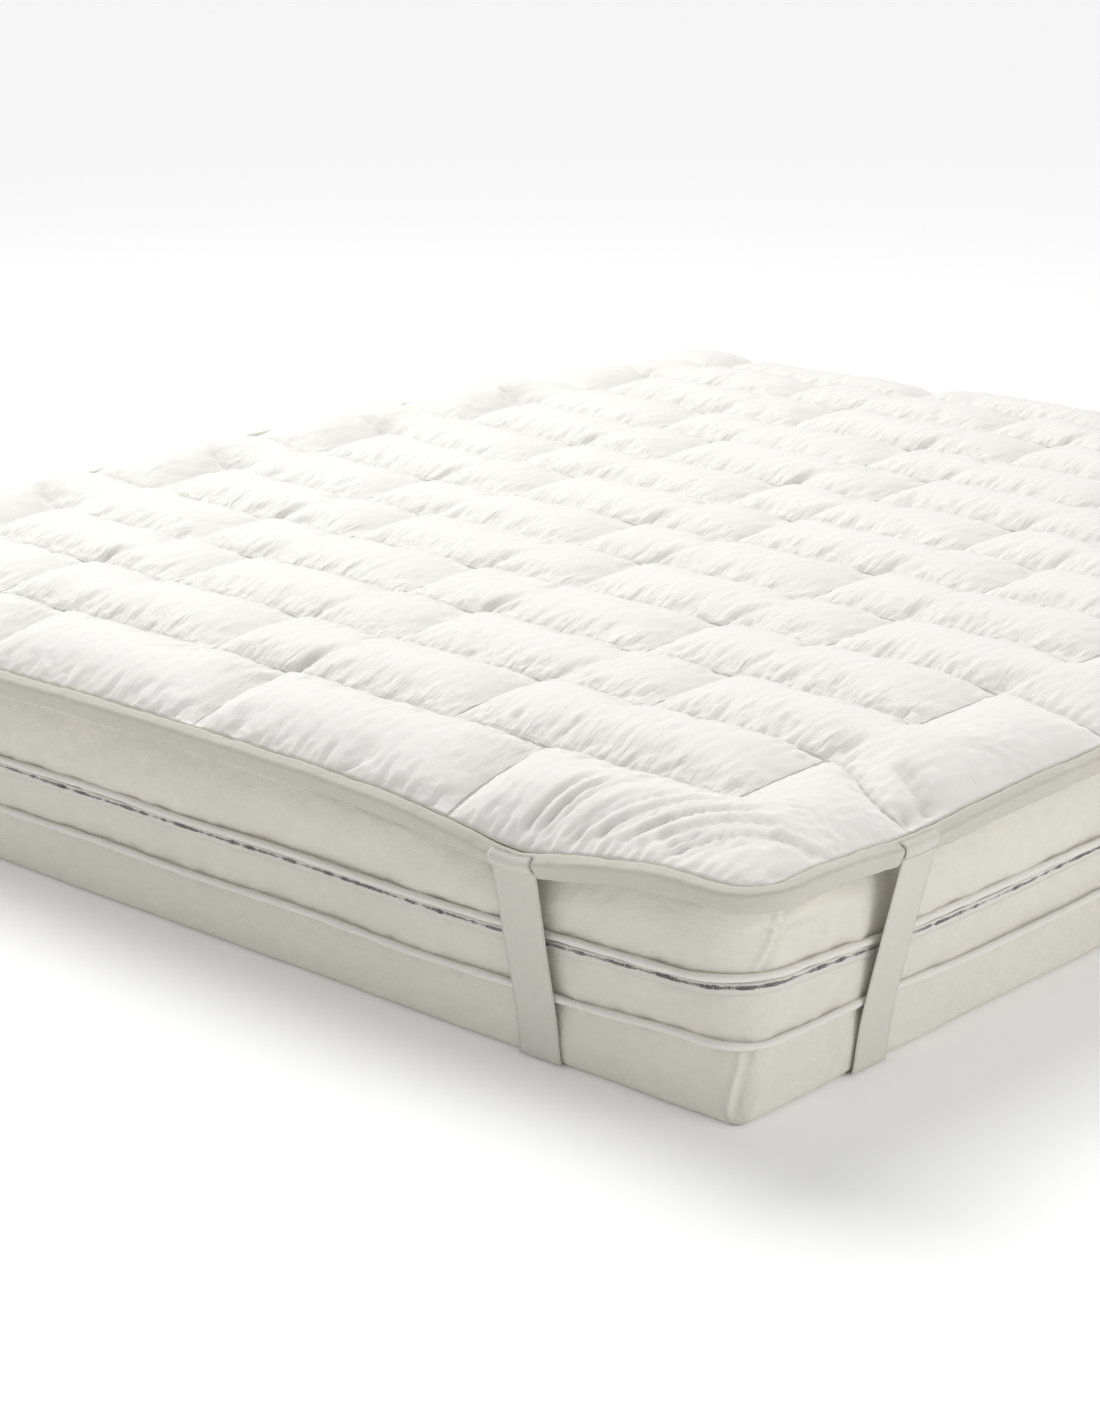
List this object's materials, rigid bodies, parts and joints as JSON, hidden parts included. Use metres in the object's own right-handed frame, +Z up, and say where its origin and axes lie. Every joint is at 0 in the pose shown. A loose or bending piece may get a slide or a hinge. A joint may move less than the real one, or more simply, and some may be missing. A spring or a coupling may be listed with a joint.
{
  "type": "quilted mattress topper on a mattress",
  "caption": "Puffed mattress topper, stitched in staggered oblong cells with a rolled edge binding, held over a plain mattress by an elastic strap under each corner.",
  "frame": {"origin": "middle of the mattress's underside, on the floor plane", "axes": "+Z up, +Y along the bed, +X across the bed towards the end of the rows that faces the camera's right"},
  "size_m": [1.6914, 1.965, 0.3074],
  "materials": {
    "quilted_cloth": "soft white woven cloth over filling",
    "woven_trim": "rolled or flat woven edging",
    "mattress_cover": "matt knitted cover",
    "strap_elastic": "ribbed woven elastic"
  },
  "bodies": {
    "root": {"mattress": "mattress_cover", "topper": "quilted_cloth", "edge_binding": "woven_trim", "upper_piping": "woven_trim", "lower_piping": "woven_trim", "side_tape": "woven_trim", "corner_strap_1": "strap_elastic", "corner_strap_2": "strap_elastic", "corner_strap_3": "strap_elastic", "corner_strap_4": "strap_elastic"}
  },
  "joints": []
}
